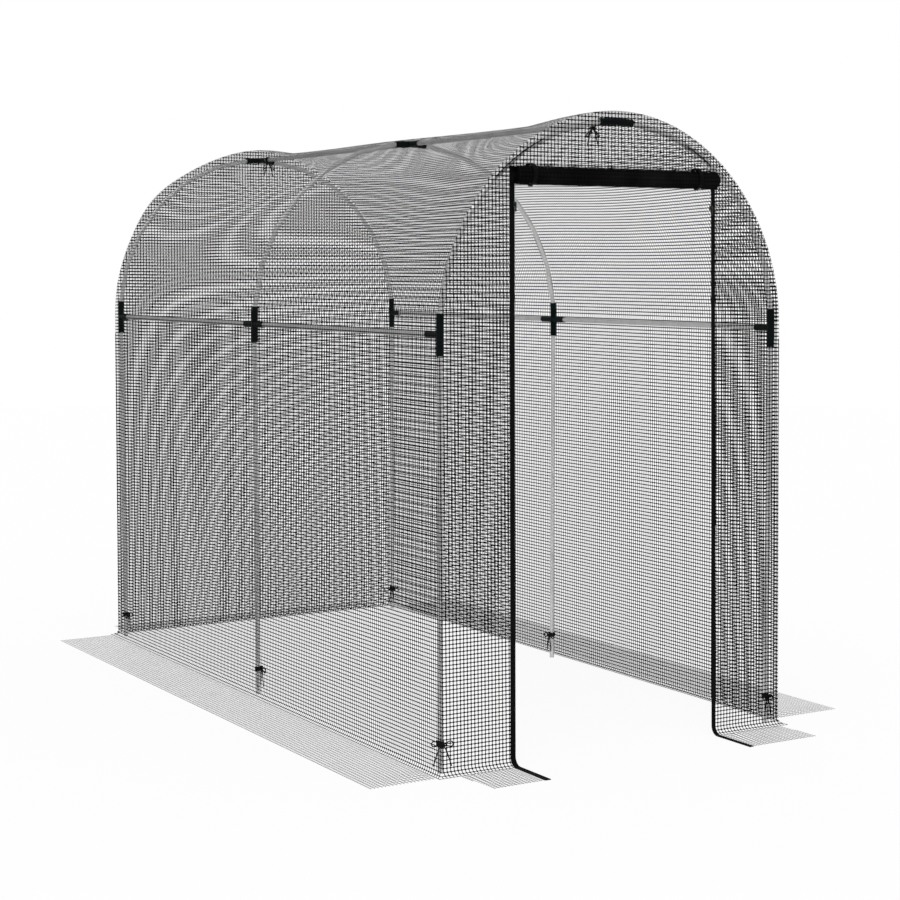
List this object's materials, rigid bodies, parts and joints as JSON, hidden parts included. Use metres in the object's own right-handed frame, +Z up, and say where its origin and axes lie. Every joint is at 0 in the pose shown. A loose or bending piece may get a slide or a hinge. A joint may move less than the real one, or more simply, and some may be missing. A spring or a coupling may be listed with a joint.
{
  "type": "fruit cage",
  "caption": "Walk-in garden fruit cage: arched tube frame in plastic connectors under a black net cover, with ground skirts and a zipped doorway whose net is rolled up.",
  "frame": {"origin": "on the ground, in the middle of the six legs, within 15 mm of the middle of the box under the cage", "axes": "+Z up, -Y out through the doorway, +X to the right as seen from outside the doorway"},
  "size_m": [1.7356, 2.8676, 1.8973],
  "materials": {
    "tube": "galvanised, satin",
    "connector": "moulded, satin",
    "net": "open mesh of black strands",
    "door_net": "black mesh, rolled up",
    "zip_tape": "woven tape",
    "zip_metal": "black, satin",
    "cord": "braided cord"
  },
  "bodies": {
    "cage": {"leg_front_left": "tube", "leg_front_right": "tube", "leg_middle_left": "tube", "leg_middle_right": "tube", "leg_back_left": "tube", "leg_back_right": "tube", "arch_front_left": "tube", "arch_front_right": "tube", "arch_middle_left": "tube", "arch_middle_right": "tube", "arch_back_left": "tube", "arch_back_right": "tube", "side_rail_left_front": "tube", "side_rail_left_back": "tube", "side_rail_right_front": "tube", "side_rail_right_back": "tube", "ridge_rail_front": "tube", "ridge_rail_back": "tube", "tee_front_left": "connector", "tee_front_right": "connector", "tee_back_left": "connector", "tee_back_right": "connector", "cross_middle_left": "connector", "cross_middle_right": "connector", "ridge_tee_front": "connector", "ridge_tee_back": "connector", "ridge_cross_middle": "connector", "side_net_left": "net", "side_net_right": "net", "roof_net": "net", "back_net": "net", "front_net_left": "net", "front_net_right": "net", "front_net_top": "net", "skirt_left": "net", "skirt_right": "net", "skirt_back": "net", "skirt_front_left": "net", "skirt_front_right": "net", "zip_tape_left": "zip_tape", "zip_tape_right": "zip_tape", "door_roll": "door_net", "roll_strap_left": "cord", "roll_strap_right": "cord", "tie_front_left": "cord", "tie_front_right": "cord", "tie_middle_left": "cord", "tie_middle_right": "cord", "tie_back_left": "cord", "tie_back_right": "cord", "tie_ridge_front": "cord", "tie_ridge_back": "cord"},
    "slider_left": {"zip_slider_left": "zip_metal"},
    "pull_left": {"zip_pull_left": "zip_metal"},
    "slider_right": {"zip_slider_right": "zip_metal"},
    "pull_right": {"zip_pull_right": "zip_metal"}
  },
  "joints": [
    {"name": "slider_left_run", "type": "slide", "parent": "cage", "child": "slider_left", "axis": [-0.0046, -0.015, -0.9999], "range_m": [0, 1.58]},
    {"name": "pull_left_swing", "type": "hinge", "parent": "slider_left", "child": "pull_left", "pos_m": [-0.362, -1.23233, 1.62009], "axis": [-1, 0.0001, 0.0046], "range_deg": [0, 150]},
    {"name": "slider_right_run", "type": "slide", "parent": "cage", "child": "slider_right", "axis": [0.0046, -0.015, -0.9999], "range_m": [0, 1.58]},
    {"name": "pull_right_swing", "type": "hinge", "parent": "slider_right", "child": "pull_right", "pos_m": [0.346, -1.23233, 1.62009], "axis": [-1, -0.0001, -0.0046], "range_deg": [0, 150]}
  ]
}
